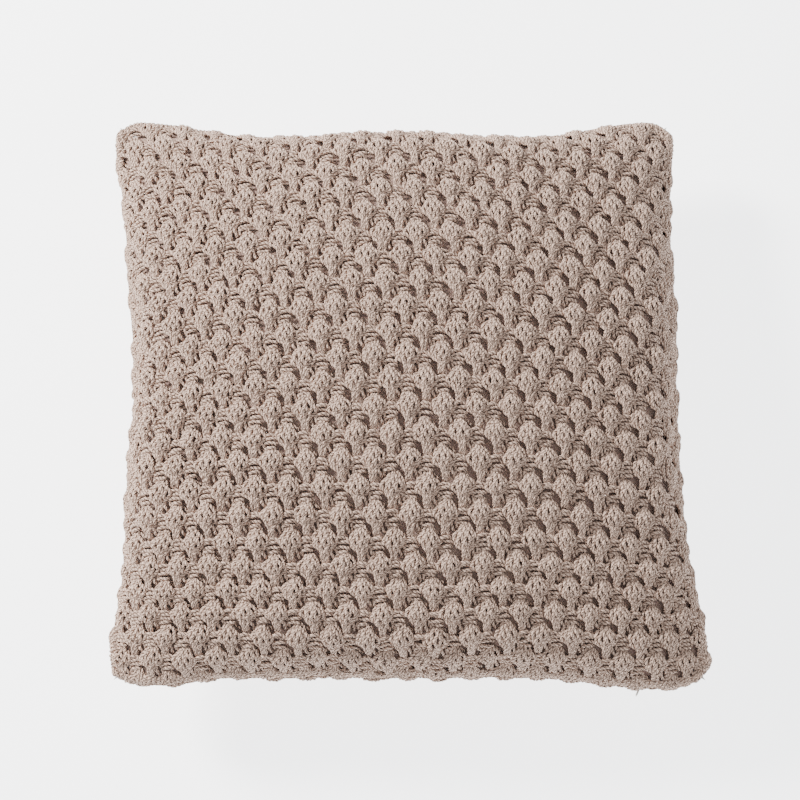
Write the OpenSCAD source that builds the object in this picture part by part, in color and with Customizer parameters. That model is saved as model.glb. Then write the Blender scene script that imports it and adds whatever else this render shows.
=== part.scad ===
// Square throw pillow: a knitted cover with a zip in one edge, over a filled insert.
// It lies on its back. +Z is up through the front and the zip is in the -Y edge.
// Every soft layer is the same crowned form, drawn in by its own depth from the outside of the knit.

/* [Cover] */
// Distance across the cover from corner to corner, along a side
cover_w = 490; // [400:1:600]
// Height of the front above the seam
front_crown = 85; // [70:1:105]
// Depth of the back below the seam
back_crown = 65; // [54:1:80]
// How far the two sides draw in between their corners
side_draw = 13; // [8:1:18]
// How far the top edge draws in between its corners
top_draw = 12; // [8:1:18]
// How far the zip edge stands inside its corners
zip_edge_draw = 7; // [4:1:10]
// Radius of a corner, seen from above
corner_r = 30; // [20:1:38]
// Thickness of the bobble knit
knit_t = 11; // [8:0.5:14]
// Thickness of the lining
lining_t = 1; // [0.6:0.1:1.5]

/* [Insert] */
// Room between the lining and the insert at the seam
insert_room = 6; // [5:0.5:10]
// Thickness of the insert's casing
casing_t = 0.8; // [0.5:0.1:1.5]
// Radius of the seam threads
thread_r = 0.6; // [0.3:0.1:0.9]
// Thickness of the labels
label_t = 0.4; // [0.2:0.1:0.8]

/* [Zip] */
// Distance from a corner to the end of the opening
opening_margin = 33; // [30:1:60]
// Height of the opening between the two lips of knit
opening_h = 9; // [8.5:0.5:14]
// Width of one tape
tape_w = 7.5; // [6.5:0.5:8.5]
// Thickness of the tapes
tape_t = 0.5; // [0.3:0.1:0.7]
// Width of the closed chain over both coils
chain_w = 4.2; // [3.6:0.1:4.6]
// Height of the coils above the tapes
coil_h = 1.8; // [1.4:0.1:2.2]
// Length of the slider
slider_l = 10; // [8:0.5:12]
// Thickness of the slider's plates
plate_t = 0.8; // [0.6:0.1:1]

/* [Pull tab] */
// Length of the tab from its pivot
tab_l = 18; // [14:0.5:22]
// Width of the tab
tab_w = 5; // [4:0.25:6]
// Thickness of the tab
tab_t = 1.2; // [0.8:0.1:1.6]
// Radius of the tab's crossbar
crossbar_r = 0.55; // [0.4:0.05:0.7]
// Angle at which the closed zip's tab leans back along the chain
tab_lean = 25; // [0:1:60]

/* [Hidden] */

front = 1;
back = -1;
half_w = cover_w / 2;
seam_z = back_crown;
opening_end = half_w - opening_margin;

// Fullness of the crown: higher is boxier.
crown_power = 2.3;
// The back is pressed flat where the crown passes this share of its depth.
rest_share = 0.93;
// How quickly the lips of the opening blend into the panels
lip_blend = 12;

// Layers, each given as [draw-in at the seam, draw-in at the crown]
knit_out = [0, 0];
knit_in = [knit_t, knit_t];
lining_in = [knit_t + lining_t, knit_t + lining_t];
casing_out = [knit_t + lining_t + insert_room, knit_t + lining_t];
casing_in = casing_out + [casing_t, casing_t];

// Rows of the surface: close together round the edge, even over the middle
edge_rows = 4;
middle_rows = 12;
opening_share = opening_end / half_w;
edge_grid = [for (i = [0:edge_rows]) 1 - (1 - opening_share) * (1 - cos(90 * i / edge_rows))];
middle_grid = [for (i = [1:middle_rows - 1]) opening_share * (2 * i / middle_rows - 1)];
grid = concat(
    [for (g = edge_grid) -g],
    middle_grid,
    [for (i = [edge_rows:-1:0]) edge_grid[i]]
);
last = len(grid) - 1;

// Zip: places across the depth of the edge, measured inwards from the outside of the knit
tape_gap = 2.8;
run_gap = 0.3;
tape_face_y = -half_w + zip_edge_draw + knit_t + lining_t + tape_gap;
coil_gap = 1.1;
plate_gap = 0.3;
tab_clear = 4;
slider_x = opening_end - tab_l - tab_clear;
chain_start_x = -slider_x;
chain_end_x = slider_x + slider_l / 2 + 1;
tape_over = 10;
stop_l = 2.5;
stitch_pitch = 5;
stitch_z = tape_w - 2;
stitch_r = 0.3;

// Slider: top plate over the coils, bottom plate behind the tapes
top_plate_y = tape_face_y - coil_h - run_gap - plate_t;
bottom_plate_y = tape_face_y + tape_t + run_gap;
flange_z = chain_w / 2 + plate_gap;
slider_w = 2 * (flange_z + plate_t);
wedge_w = coil_gap - 2 * run_gap;
bridge_w = 1.8;
bridge_t = 0.9;
bridge_l = 6;
bar_clear = 0.35;
window_h = 2 * (crossbar_r + bar_clear);
pivot_y = top_plate_y - window_h / 2;
eye_l = bridge_l / 2 + bridge_t;
arm_clear = 0.45;
eye_w = bridge_w + 2 * arm_clear;

// ---- Crowned form of the pillow ----

function smooth(t) = let (s = max(0, min(1, t))) s * s * (3 - 2 * s);

// Half distance across, at a place along the side or along the end
function half_x(v) = half_w - side_draw * (1 - v * v);
function zip_flare(u) = smooth((abs(u) - opening_share) / (1 - opening_share));
function half_y(u, v) =
    v > 0 ? half_w - top_draw * (1 - u * u) : half_w - zip_edge_draw * (1 - zip_flare(u));

// A square coordinate pulled in round the corners
function past_corner(t) = max(0, (abs(t) - 1 + corner_r / half_w) * half_w / corner_r);
function rounded(t, other) = let (
        p = past_corner(t),
        q = past_corner(other),
        share = corner_r / half_w
    ) sign(t) * (p > 0 ? 1 - share + share * p * sqrt(1 - q * q / 2) : abs(t));

function crown(u, v) =
    sqrt(max(0, (1 - pow(abs(u), crown_power)) * (1 - pow(abs(v), crown_power))));
function back_form(u, v) = min(crown(u, v), rest_share) / rest_share;

// The lips stand apart over the opening and meet at its ends.
function opening_share_at(u) = smooth((1 - abs(u)) / (1 - opening_share));
function lip(u, v, open) =
    open ? opening_h / 2 * opening_share_at(u) * pow((1 - v) / 2, lip_blend) : 0;

function form(u, v, face, layer, open) = [
    rounded(u, v) * (half_x(v) - layer[0]),
    rounded(v, u) * (half_y(u, v) - layer[0]),
    seam_z + face * (lip(u, v, open)
        + (face == front ? (front_crown - layer[1]) * crown(u, v)
                         : (back_crown - layer[1]) * back_form(u, v)))
];

function form_grid(face, layer, open, cols, rows) =
    [for (j = rows, i = cols) form(grid[i], grid[j], face, layer, open)];

// Two triangles of one cell, cut so that no triangle lies along a corner of the outline
function cell(a, b, c, d, split) = split ? [[a, b, c], [a, c, d]] : [[a, b, d], [b, c, d]];
function flipped(faces) = [for (f = faces) [f[2], f[1], f[0]]];

// ---- Solids made from the form ----

// A layer between two depths, over a range of the grid's columns and rows
module layer_patch(face, outside, inside, open, i0, i1, j0, j1) {
    nx = i1 - i0 + 1;
    ny = j1 - j0 + 1;
    n = nx * ny;
    cols = [i0:i1];
    rows = [j0:j1];
    points = concat(form_grid(face, outside, open, cols, rows), form_grid(face, inside, open, cols, rows));
    skin = [for (j = [0:ny - 2], i = [0:nx - 2])
        let (a = j * nx + i, split = grid[i0 + i] * grid[j0 + j] + grid[i0 + i + 1] * grid[j0 + j + 1] > 0)
        each cell(a, a + nx, a + nx + 1, a + 1, split)];
    lining_skin = [for (f = flipped(skin)) [for (k = f) k + n]];
    border = concat(
        [for (i = [0:nx - 2]) i],
        [for (j = [0:ny - 2]) j * nx + nx - 1],
        [for (i = [nx - 1:-1:1]) (ny - 1) * nx + i],
        [for (j = [ny - 1:-1:1]) j * nx]
    );
    m = len(border);
    wall = [for (k = [0:m - 1])
        let (a = border[k], b = border[(k + 1) % m])
        each cell(a, b, b + n, a + n, true)];
    faces = concat(skin, lining_skin, wall);
    polyhedron(points = points, faces = face == front ? faces : flipped(faces));
}

module layer_half(face, outside, inside, open) {
    layer_patch(face, outside, inside, open, 0, last, 0, last);
}

// The whole closed form at one depth
function on_border(i, j) = i == 0 || j == 0 || i == last || j == last;
function front_point(i, j) = j * (last + 1) + i;
function back_point(i, j) =
    on_border(i, j) ? front_point(i, j) : pow(last + 1, 2) + (j - 1) * (last - 1) + i - 1;

module closed_form(layer) {
    points = concat(
        form_grid(front, layer, false, [0:last], [0:last]),
        form_grid(back, layer, false, [1:last - 1], [1:last - 1])
    );
    function split_at(i, j) = grid[i] * grid[j] + grid[i + 1] * grid[j + 1] > 0;
    top = [for (j = [0:last - 1], i = [0:last - 1])
        each cell(front_point(i, j), front_point(i, j + 1), front_point(i + 1, j + 1),
            front_point(i + 1, j), split_at(i, j))];
    under = [for (j = [0:last - 1], i = [0:last - 1])
        each cell(back_point(i, j), back_point(i, j + 1), back_point(i + 1, j + 1),
            back_point(i + 1, j), split_at(i, j))];
    polyhedron(points = points, faces = concat(top, flipped(under)));
}

// A round thread through a list of points that lie level, with its ends closed
module thread(path) {
    sides = 6;
    n = len(path);
    function along(k) = let (d = path[min(k + 1, n - 1)] - path[max(k - 1, 0)]) d / norm(d);
    points = [for (k = [0:n - 1], s = [0:sides - 1])
        let (d = along(k), across = [-d[1], d[0], 0])
        path[k] + thread_r * (cos(360 * s / sides) * across + sin(360 * s / sides) * [0, 0, 1])];
    walls = [for (k = [0:n - 2], s = [0:sides - 1])
        let (t = (s + 1) % sides)
        each cell(k * sides + s, (k + 1) * sides + s, (k + 1) * sides + t, k * sides + t, true)];
    ends = [[for (s = [0:sides - 1]) s], [for (s = [sides - 1:-1:0]) (n - 1) * sides + s]];
    polyhedron(points = points, faces = concat(walls, ends));
}

// Seam threads run just inside the lining, or just outside the insert's casing.
cover_thread = lining_in + [thread_r + 0.15, 0];
casing_thread = casing_out - [thread_r + 0.15, 0];
function seam_point(u, v, layer) = form(u, v, front, layer, false);

module block(x0, x1, y0, y1, z0, z1) {
    translate([x0, y0, z0])
        cube([x1 - x0, y1 - y0, z1 - z0]);
}

// The same block on the front or the back side of the zip's centre line
module zip_block(face, x0, x1, y0, y1, z0, z1) {
    translate([0, 0, seam_z])
        if (face == front)
            block(x0, x1, y0, y1, z0, z1);
        else
            block(x0, x1, y0, y1, -z1, -z0);
}

module zip_tape(face) {
    zip_block(face, chain_start_x - tape_over, chain_end_x + tape_over,
        tape_face_y, tape_face_y + tape_t, coil_gap / 2, tape_w);
}

module zip_coil(face) {
    zip_block(face, chain_start_x, chain_end_x, tape_face_y - coil_h, tape_face_y, coil_gap / 2, chain_w / 2);
}

// A bobbin thread on the inside of the tape, tied through the lining at every stitch
module zip_stitching(face) {
    zip_block(face, chain_start_x, chain_end_x, tape_face_y + tape_t, tape_face_y + tape_t + stitch_r,
        stitch_z - stitch_r, stitch_z + stitch_r);
    for (x = [chain_start_x + stitch_pitch / 2:stitch_pitch:chain_end_x])
        translate([x, tape_face_y + tape_t, seam_z + face * stitch_z])
            rotate([90, 0, 0])
                cylinder(r = stitch_r, h = tape_t + tape_gap, $fn = 24);
}

// ---- Sub-parts ----

module knit_front_panel() {
    color([0.64, 0.57, 0.53])
        layer_half(front, knit_out, knit_in, true);
}

module knit_back_panel() {
    color([0.62, 0.55, 0.51])
        layer_half(back, knit_out, knit_in, true);
}

module front_lining() {
    color([0.42, 0.34, 0.31])
        layer_half(front, knit_in, lining_in, true);
}

module back_lining() {
    color([0.4, 0.32, 0.29])
        layer_half(back, knit_in, lining_in, true);
}

module left_seam_thread() {
    color([0.6, 0.53, 0.49])
        thread([for (g = grid) if (abs(g) < 0.95) seam_point(-1, g, cover_thread)]);
}

module right_seam_thread() {
    color([0.6, 0.53, 0.49])
        thread([for (g = grid) if (abs(g) < 0.95) seam_point(1, g, cover_thread)]);
}

module top_seam_thread() {
    color([0.6, 0.53, 0.49])
        thread([for (g = grid) if (abs(g) < 0.95) seam_point(g, 1, cover_thread)]);
}

module zip_tape_front() {
    color([0.55, 0.48, 0.44])
        zip_tape(front);
}

module zip_tape_back() {
    color([0.55, 0.48, 0.44])
        zip_tape(back);
}

module zip_coil_front() {
    color([0.5, 0.43, 0.4])
        zip_coil(front);
}

module zip_coil_back() {
    color([0.5, 0.43, 0.4])
        zip_coil(back);
}

module zip_stitching_front() {
    color([0.6, 0.53, 0.49])
        zip_stitching(front);
}

module zip_stitching_back() {
    color([0.6, 0.53, 0.49])
        zip_stitching(back);
}

module zip_top_stops() {
    color([0.7, 0.7, 0.7])
        for (face = [front, back])
            zip_block(face, chain_end_x, chain_end_x + stop_l, tape_face_y - coil_h, tape_face_y,
                coil_gap / 2, chain_w / 2);
}

module zip_bottom_stop() {
    color([0.7, 0.7, 0.7])
        translate([0, 0, seam_z])
            block(chain_start_x - stop_l, chain_start_x, tape_face_y - coil_h, tape_face_y,
                -chain_w / 2, chain_w / 2);
}

// Two plates joined by a wedge that parts the coils, with side flanges and a bridge for the tab
module zip_slider_body() {
    color([0.72, 0.72, 0.72])
        translate([slider_x, 0, seam_z])
            difference() {
                union() {
                    block(-slider_l / 2, slider_l / 2, top_plate_y, top_plate_y + plate_t,
                        -slider_w / 2, slider_w / 2);
                    block(-slider_l / 2, slider_l / 2, bottom_plate_y, bottom_plate_y + plate_t,
                        -slider_w / 2, slider_w / 2);
                    for (side = [0, 1])
                        mirror([0, 0, side])
                            block(-slider_l / 2, slider_l / 2, top_plate_y, tape_face_y - run_gap,
                                flange_z, flange_z + plate_t);
                    block(slider_l / 2 - 3, slider_l / 2 - 0.5, top_plate_y, bottom_plate_y + plate_t,
                        -wedge_w / 2, wedge_w / 2);
                    block(-bridge_l / 2, bridge_l / 2, top_plate_y - window_h - bridge_t, top_plate_y,
                        -bridge_w / 2, bridge_w / 2);
                }
                block(-bridge_l / 2 + bridge_t, bridge_l / 2 - bridge_t, top_plate_y - window_h,
                    top_plate_y, -bridge_w, bridge_w);
            }
}

// A flat tab with a round end and a square eye that is closed by a round crossbar
module zip_puller_tab() {
    color([0.75, 0.75, 0.75])
        translate([slider_x, pivot_y, seam_z])
            rotate([0, 0, -tab_lean]) {
                translate([0, 0, -tab_w / 2])
                    cylinder(r = crossbar_r, h = tab_w, $fn = 48);
                rotate([0, 90, 0])
                    translate([0, 0, -tab_t / 2])
                        difference() {
                            union() {
                                translate([-tab_w / 2, -tab_l + tab_w / 2])
                                    cube([tab_w, tab_l - tab_w / 2, tab_t]);
                                translate([0, -tab_l + tab_w / 2])
                                    cylinder(d = tab_w, h = tab_t, $fn = 64);
                            }
                            translate([-eye_w / 2, -eye_l, -1])
                                cube([eye_w, eye_l + 1, tab_t + 2]);
                            translate([0, -tab_l + tab_w / 2, -1])
                                cylinder(d = tab_w * 0.36, h = tab_t + 2, $fn = 48);
                        }
            }
}

module insert_casing_front() {
    color([0.93, 0.92, 0.89])
        layer_half(front, casing_out, casing_in, false);
}

module insert_casing_back() {
    color([0.91, 0.9, 0.87])
        layer_half(back, casing_out, casing_in, false);
}

module insert_seam_thread() {
    color([0.88, 0.87, 0.84])
        thread([for (g = grid) if (abs(g) < 0.95) seam_point(g, 1, casing_thread)]);
}

module fibre_fill() {
    color([0.97, 0.97, 0.96])
        closed_form(casing_in);
}

module cover_care_label() {
    color([0.95, 0.94, 0.92])
        layer_patch(back, lining_in, lining_in + [label_t, label_t], true, 1, 4, 7, 8);
}

module insert_label() {
    color([0.95, 0.95, 0.95])
        layer_patch(front, casing_out - [label_t, label_t], casing_out, false, last - 4, last - 1, 7, 8);
}

knit_front_panel();
knit_back_panel();
front_lining();
back_lining();
left_seam_thread();
right_seam_thread();
top_seam_thread();
zip_tape_front();
zip_tape_back();
zip_coil_front();
zip_coil_back();
zip_stitching_front();
zip_stitching_back();
zip_top_stops();
zip_bottom_stop();
zip_slider_body();
zip_puller_tab();
insert_casing_front();
insert_casing_back();
insert_seam_thread();
fibre_fill();
cover_care_label();
insert_label();
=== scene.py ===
import bpy
import bmesh
import math
import numpy as np
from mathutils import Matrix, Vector


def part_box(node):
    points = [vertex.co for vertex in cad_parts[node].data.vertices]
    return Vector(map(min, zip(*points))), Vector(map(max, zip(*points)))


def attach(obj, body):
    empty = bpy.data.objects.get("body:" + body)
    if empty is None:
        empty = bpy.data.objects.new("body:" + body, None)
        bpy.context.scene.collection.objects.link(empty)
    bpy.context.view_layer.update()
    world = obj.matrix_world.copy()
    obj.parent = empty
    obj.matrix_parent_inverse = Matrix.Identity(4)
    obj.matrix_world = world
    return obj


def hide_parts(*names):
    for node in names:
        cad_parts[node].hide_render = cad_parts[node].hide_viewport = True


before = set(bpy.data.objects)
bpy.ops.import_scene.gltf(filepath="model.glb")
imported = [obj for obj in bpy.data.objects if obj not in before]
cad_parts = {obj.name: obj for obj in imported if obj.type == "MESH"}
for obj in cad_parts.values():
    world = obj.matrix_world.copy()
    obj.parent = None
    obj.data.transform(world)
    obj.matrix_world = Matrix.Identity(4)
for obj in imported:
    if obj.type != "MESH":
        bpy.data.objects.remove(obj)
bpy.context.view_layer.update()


# ---- Camera ----
# A long lens looks down on the pillow from over its zip edge,
# so that the front fills the view and the zip edge is nearest.
look_at = Vector((-0.001, -0.009, 0.078))
camera_height = math.radians(76.0)
camera_turn = math.radians(0.0)
camera_distance = 1.42

eye = look_at + camera_distance * Vector((
    -math.sin(camera_turn) * math.cos(camera_height),
    -math.cos(camera_turn) * math.cos(camera_height),
    math.sin(camera_height),
))
lens = bpy.data.cameras.new("camera")
lens.sensor_width = 36.0
lens.lens = 79.6
lens.clip_start = 0.05
lens.clip_end = 30.0
camera = bpy.data.objects.new("camera", lens)
bpy.context.scene.collection.objects.link(camera)
camera.location = eye
camera.rotation_euler = (look_at - eye).to_track_quat("-Z", "Y").to_euler()
bpy.context.scene.camera = camera


# ---- Floor and studio lamps ----
# A wide matt white sweep, a large soft key lamp high on the left,
# and a broad fill lamp from the front right.
bpy.ops.object.select_all(action="DESELECT")
bpy.ops.mesh.primitive_plane_add(size=12.0, location=(0.0, 0.0, 0.0))
floor = bpy.context.active_object
floor.name = "studio_floor"
paper = bpy.data.materials.new("white_paper")
paper.use_nodes = True
paper_finish = paper.node_tree.nodes["Principled BSDF"].inputs
paper_finish["Base Color"].default_value = (0.9, 0.92, 0.94, 1.0)
paper_finish["Roughness"].default_value = 0.9
paper_finish["Emission Color"].default_value = (0.96, 0.98, 1.0, 1.0)
paper_finish["Emission Strength"].default_value = 3.3
floor.data.materials.append(paper)


lamps_aim_at = Vector((0.0, 0.0, 0.08))


def add_lamp(name, place, size, watts, tint=(1.0, 1.0, 1.0)):
    lamp_data = bpy.data.lights.new(name, "AREA")
    lamp_data.shape = "DISK"
    lamp_data.size = size
    lamp_data.energy = watts
    lamp_data.color = tint
    lamp = bpy.data.objects.new(name, lamp_data)
    bpy.context.scene.collection.objects.link(lamp)
    lamp.location = place
    lamp.rotation_euler = (lamps_aim_at - Vector(place)).to_track_quat("-Z", "Y").to_euler()


add_lamp("key_lamp", (-1.65, 1.05, 1.30), 0.7, 135.0, (1.0, 0.95, 0.90))
add_lamp("fill_lamp", (1.6, -1.4, 2.2), 2.4, 12.0)

studio = bpy.data.worlds.new("studio")
studio.use_nodes = True
studio_light = studio.node_tree.nodes["Background"].inputs
studio_light["Color"].default_value = (1.0, 1.0, 1.0, 1.0)
studio_light["Strength"].default_value = 0.83
bpy.context.scene.world = studio


# ---- Filled form of the pillow ----
# The cover is cut as two flat squares with rounded corners. The filling swells them,
# so the sides draw in between the corners. Every soft layer is a copy of this one form.
front, back = 1, -1
blank_half = 0.243
blank_corner = 0.023
blank_cells = 64
start_crown = {front: 0.060, back: 0.045}
crown_squareness = 2.2
swelling_steps = 20
lining_low, lining_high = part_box("back_lining")[0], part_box("front_lining")[1]
seam_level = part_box("zip_slider_body")[0][2] / 2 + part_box("zip_slider_body")[1][2] / 2


def blank_point(u, v):
    """A place on the flat square, pulled in round its corner; u and v run from -1 to 1."""
    straight = blank_half - blank_corner
    over_x = max(abs(u) * blank_half - straight, 0.0)
    over_y = max(abs(v) * blank_half - straight, 0.0)
    x = min(abs(u) * blank_half, straight) + over_x * math.sqrt(1 - 0.5 * (over_y / blank_corner) ** 2)
    y = min(abs(v) * blank_half, straight) + over_y * math.sqrt(1 - 0.5 * (over_x / blank_corner) ** 2)
    return math.copysign(x, u), math.copysign(y, v)


def swell_blank():
    """Two blanks joined at their edges and blown up as cloth, as one grid of points for each face."""
    cells = blank_cells
    points, faces, number = [], [], {}
    for face in (front, back):
        for j in range(cells + 1):
            for i in range(cells + 1):
                if face == back and (i in (0, cells) or j in (0, cells)):
                    number[face, i, j] = number[front, i, j]
                    continue
                u, v = 2 * i / cells - 1, 2 * j / cells - 1
                x, y = blank_point(u, v)
                bulge = (1 - abs(u) ** crown_squareness) * (1 - abs(v) ** crown_squareness)
                crown = math.sqrt(max(0.0, bulge))
                number[face, i, j] = len(points)
                points.append((x, y, face * start_crown[face] * crown))
        for j in range(cells):
            for i in range(cells):
                corners = [number[face, i, j], number[face, i + 1, j],
                           number[face, i + 1, j + 1], number[face, i, j + 1]]
                faces.append(corners if face == front else corners[::-1])
    mesh = bpy.data.meshes.new("cover_blank")
    mesh.from_pydata(points, [], faces)
    blank = bpy.data.objects.new("cover_blank", mesh)
    bpy.context.scene.collection.objects.link(blank)

    cloth = blank.modifiers.new("filling", "CLOTH")
    cloth.settings.use_pressure = True
    cloth.settings.uniform_pressure_force = 0.6
    cloth.settings.tension_stiffness = 2.0
    cloth.settings.compression_stiffness = 15.0
    cloth.settings.shear_stiffness = 1.0
    cloth.settings.bending_stiffness = 0.5
    cloth.settings.mass = 0.3
    cloth.settings.quality = 6
    cloth.settings.effector_weights.gravity = 0.0
    cloth.collision_settings.use_collision = False
    for step in range(1, swelling_steps + 1):
        bpy.context.scene.frame_set(step)
    shaped = blank.evaluated_get(bpy.context.evaluated_depsgraph_get()).to_mesh()
    swollen = np.empty(3 * len(points))
    shaped.vertices.foreach_get("co", swollen)
    swollen = swollen.reshape(-1, 3)
    grids = {}
    for face in (front, back):
        order = [number[face, i, j] for j in range(cells + 1) for i in range(cells + 1)]
        grids[face] = swollen[order].reshape(cells + 1, cells + 1, 3)
    bpy.data.objects.remove(blank)
    return grids


def smooth_step(t):
    t = np.clip(t, 0.0, 1.0)
    return t * t * (3 - 2 * t)


form_grid = swell_blank()
steps = np.linspace(-1, 1, blank_cells + 1)
across, along = np.meshgrid(steps, steps)

# The swollen form is brought to the size of the lining it stands for. Its own weight
# presses the back flat against what it lies on, and each crown rises more steeply.
sag = 1.10
press = 0.006
crown_steepness = 1.25
both = np.concatenate([form_grid[front].reshape(-1, 3), form_grid[back].reshape(-1, 3)])
for axis in (0, 1):
    reach = np.abs(both[:, axis]).max()
    for face in (front, back):
        form_grid[face][..., axis] *= lining_high[axis] / reach
form_grid[front][..., 2] *= (lining_high[2] - seam_level) / form_grid[front][..., 2].max()
rest_depth = seam_level - lining_low[2]
depth_below = -form_grid[back][..., 2] * sag * rest_depth / -form_grid[back][..., 2].min()
form_grid[back][..., 2] = -(rest_depth - press * np.log1p(np.exp((rest_depth - depth_below) / press)))
form_grid[back][..., 2] *= rest_depth / -form_grid[back][..., 2].min()
for face in (front, back):
    height = form_grid[face][..., 2]
    crown_height = np.abs(height).max()
    share = (np.abs(height) / crown_height) ** crown_steepness
    form_grid[face][..., 2] = seam_level + np.sign(height) * crown_height * share

# The knitted cover pulls each side in a little further between the corners, unevenly.
draw_in = {"left": 0.0095, "right": 0.0055, "top": 0.0078}
unevenness = {"left": (0.18, 7.0, 1.0), "right": (-0.55, 4.5, 0.5), "top": (0.45, 6.0, 4.6)}


def seam_pull(side, way):
    """How far a side is drawn in at each place along its seam: nothing at the corners."""
    share, beat, start = unevenness[side]
    between_corners = smooth_step((1 - np.abs(way)) / 0.5)
    return draw_in[side] * (1 + share * np.sin(beat * way + start)) * between_corners


for face in (front, back):
    side_pull = np.where(across < 0, seam_pull("left", along), -seam_pull("right", along))
    form_grid[face][..., 0] += side_pull * np.abs(across) ** 4
    form_grid[face][..., 1] -= seam_pull("top", across) * ((1 + along) / 2) ** 6

# The zip tapes hold their edge straight, and it flares out toward its two corners.
lip_past_tape = 0.0014
left_flare = 0.0060
right_flare = 0.0090
corner_from = 0.97
zip_edge_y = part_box("zip_tape_front")[0][1] - lip_past_tape
seam_y = form_grid[front][0, :, 1]
seam_x = form_grid[front][0, :, 0]
flare = left_flare * smooth_step((-seam_x - 0.140) / 0.055)
flare += right_flare * smooth_step((seam_x - 0.090) / 0.110)
straighten = np.where(np.abs(steps) < corner_from, zip_edge_y - flare - seam_y, 0.0)
straighten *= smooth_step((0.985 - np.abs(steps)) / 0.10)
near_zip = ((1 - along) / 2) ** 5
for face in (front, back):
    form_grid[face][..., 1] += straighten[None, :] * near_zip


def finer(values, times):
    """The same grid with its cells divided, along smooth curves through its points."""
    count = values.shape[0]
    at = np.linspace(0, count - 1, (count - 1) * times + 1)
    low = np.clip(at.astype(int), 0, count - 2)
    t = at - low
    weights = np.zeros((len(at), count))
    shares = (-0.5 * t + t**2 - 0.5 * t**3, 1 - 2.5 * t**2 + 1.5 * t**3,
              0.5 * t + 2 * t**2 - 1.5 * t**3, -0.5 * t**2 + 0.5 * t**3)
    for step, share in zip((-1, 0, 1, 2), shares):
        np.add.at(weights, (np.arange(len(at)), np.clip(low + step, 0, count - 1)), share)
    return np.einsum("ai,bj,ijk->abk", weights, weights, values)


def unit(vectors):
    return vectors / np.maximum(np.linalg.norm(vectors, axis=-1, keepdims=True), 1e-12)


# The cover lies a little out of square.
out_of_square = 0.0065
for face in (front, back):
    form_grid[face][..., 0] -= out_of_square * along

form_point, form_normal = {}, {}
for face in (front, back):
    form_point[face] = finer(form_grid[face], 4)
    slope_along, slope_across = np.gradient(form_point[face], axis=(0, 1))
    form_normal[face] = face * unit(np.cross(slope_across, slope_along))
edge_of_form = np.zeros(form_point[front].shape[:2], bool)
edge_of_form[[0, -1], :] = True
edge_of_form[:, [0, -1]] = True
shared = unit(form_normal[front] + form_normal[back])
for face in (front, back):
    form_normal[face][edge_of_form] = shared[edge_of_form]


# The cover's two lips stand apart over the zip and meet again at its ends, a little
# sooner beyond the slider's end than beyond the other.
lip_lift = 0.0062
lips_meet = 0.8925
lips_closing = 0.05
lips_shift = 0.0165


def on_form(face, u, v, lift, open_lips=True):
    """Places at a height above the lining's outside, with the direction that faces outwards there."""
    size = form_point[face].shape[0] - 1
    x = np.clip((u + 1) / 2 * size, 0, size - 1e-9)
    y = np.clip((v + 1) / 2 * size, 0, size - 1e-9)
    i, j = x.astype(int), y.astype(int)
    s, t = (x - i)[..., None], (y - j)[..., None]

    def blend(grid):
        low = grid[j, i] * (1 - s) + grid[j, i + 1] * s
        high = grid[j + 1, i] * (1 - s) + grid[j + 1, i + 1] * s
        return low * (1 - t) + high * t

    normal = unit(blend(form_normal[face]))
    place = blend(form_point[face]) + normal * np.asarray(lift)[..., None]
    if open_lips:
        apart = smooth_step((lips_meet - np.abs(u + lips_shift)) / lips_closing)
        place[..., 2] += face * lip_lift * ((1 - v) / 2) ** 12 * apart
    return place, normal


def make_piece(name, points, faces, body="cover"):
    """A mesh object at the origin that moves with a body."""
    mesh = bpy.data.meshes.new(name)
    mesh.from_pydata(np.asarray(points).tolist(), [], np.asarray(faces).tolist())
    mesh.update()
    piece = bpy.data.objects.new(name, mesh)
    bpy.context.scene.collection.objects.link(piece)
    mesh.shade_smooth()
    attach(piece, body)
    return piece


def skin_quads(index):
    """The quads between neighbours in a grid of point numbers."""
    return np.stack([index[:-1, :-1], index[:-1, 1:], index[1:, 1:], index[1:, :-1]], -1).reshape(-1, 4)


def thin_cut(name, face, outside, inside, flat):
    """Thin cloth between two grids of points, laid out flat in metres for its weave."""
    total = outside[..., 0].size
    index = np.arange(total).reshape(outside.shape[:2])
    skin = skin_quads(index)
    ring = np.concatenate([index[0, :-1], index[:-1, -1], index[-1, :0:-1], index[:0:-1, 0]])
    after = np.roll(ring, -1)
    wall = np.stack([ring, ring + total, after + total, after], -1)
    faces = np.concatenate([skin, skin[:, ::-1] + total, wall])
    if face == back:
        faces = faces[:, ::-1]
    piece = make_piece(name, np.concatenate([outside.reshape(-1, 3), inside.reshape(-1, 3)]), faces)
    layout = piece.data.uv_layers.new(name="cut")
    loops = np.empty(len(piece.data.loops), int)
    piece.data.loops.foreach_get("vertex_index", loops)
    layout.data.foreach_set("uv", np.concatenate([flat.reshape(-1, 2)] * 2)[loops].ravel())
    return piece


def layer_sheet(name, face, outside, inside, count, u_range=(-1, 1), v_range=(-1, 1), open_lips=True):
    """A thin closed layer over part of a face; outside and inside give its lift at (u, v)."""
    u, v = np.meshgrid(np.linspace(*u_range, count[0]), np.linspace(*v_range, count[1]))
    top, _ = on_form(face, u, v, outside(u, v), open_lips)
    under, _ = on_form(face, u, v, inside(u, v), open_lips)
    return thin_cut(name, face, top, under, np.stack([u, v], -1) * blank_half)


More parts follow.
